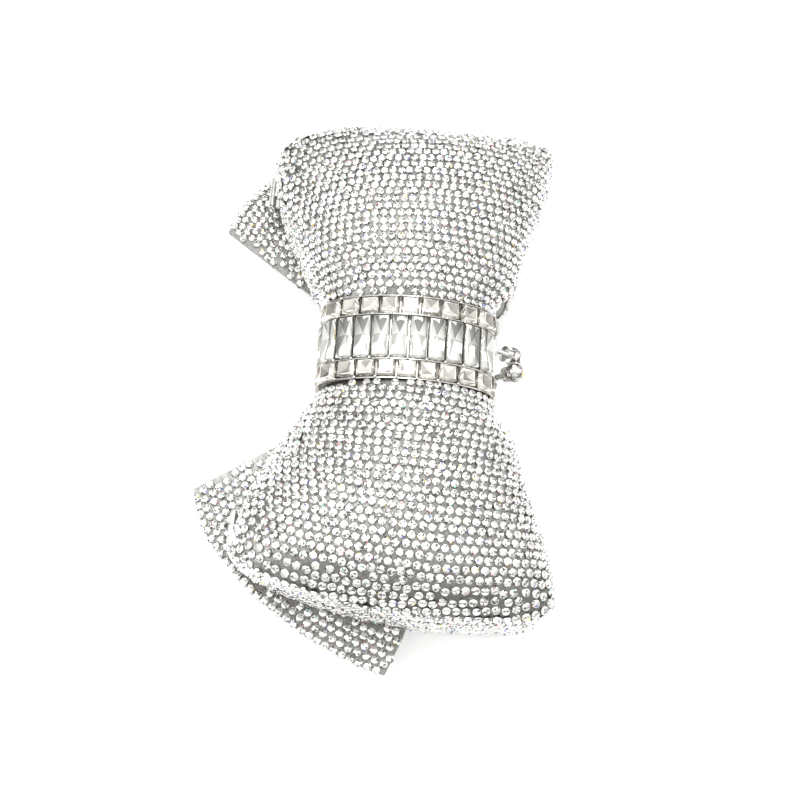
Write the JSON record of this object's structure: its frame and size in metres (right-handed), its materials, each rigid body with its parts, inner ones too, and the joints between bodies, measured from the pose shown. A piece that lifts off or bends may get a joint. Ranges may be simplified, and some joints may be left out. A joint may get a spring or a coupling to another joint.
{
  "type": "clutch bag",
  "caption": "Bow-shaped hard evening clutch covered in small round crystals, with a baguette-stone band, two tails, a hinged front and a kiss-lock.",
  "frame": {"origin": "middle of the bounding box footprint, on the plane the bag's back lies on", "axes": "+X from the hinge side (bottom of the bag) to the kiss-lock side (top of the bag), +Y along the bow towards the wearer's left lobe, +Z out of the front"},
  "size_m": [0.1098, 0.193, 0.0444],
  "materials": {
    "shell_metal": "rhodium plated brass, covered in round foiled crystals",
    "frame_metal": "polished rhodium plate",
    "band_metal": "polished rhodium plate",
    "fitting_metal": "polished rhodium plate",
    "lining": "silver kid leather over padding",
    "baguette_crystal": "cut crystal, foiled back",
    "square_crystal": "cut crystal, foiled back",
    "round_crystal": "round faceted crystal"
  },
  "bodies": {
    "base": {"back_shell": "shell_metal", "back_frame": "frame_metal", "back_lining": "lining", "back_band": "band_metal", "back_baguettes": "baguette_crystal", "back_squares_left": "square_crystal", "back_squares_right": "square_crystal", "back_clasp_plate": "fitting_metal", "back_clasp_post": "fitting_metal", "back_clasp_ball": "round_crystal", "back_hinge_leaf_left": "fitting_metal", "back_hinge_leaf_right": "fitting_metal", "back_leaf_rivets": "fitting_metal", "hinge_pin_left": "fitting_metal", "hinge_pin_right": "fitting_metal", "tail_left": "shell_metal", "tail_right": "shell_metal", "tail_rim_left": "frame_metal", "tail_rim_right": "frame_metal"},
    "lid": {"front_shell": "shell_metal", "front_frame": "frame_metal", "front_lining": "lining", "front_band": "band_metal", "front_baguettes": "baguette_crystal", "front_squares_left": "square_crystal", "front_squares_right": "square_crystal", "front_clasp_plate": "fitting_metal", "front_clasp_post": "fitting_metal", "front_clasp_ball": "round_crystal", "front_hinge_leaf_left": "fitting_metal", "front_hinge_leaf_right": "fitting_metal", "front_leaf_rivets": "fitting_metal"}
  },
  "joints": [
    {"name": "lid_hinge", "type": "hinge", "parent": "base", "child": "lid", "pos_m": [-0.0399, 0, 0.022], "axis": [0, -1, 0], "range_deg": [0, 60]}
  ]
}
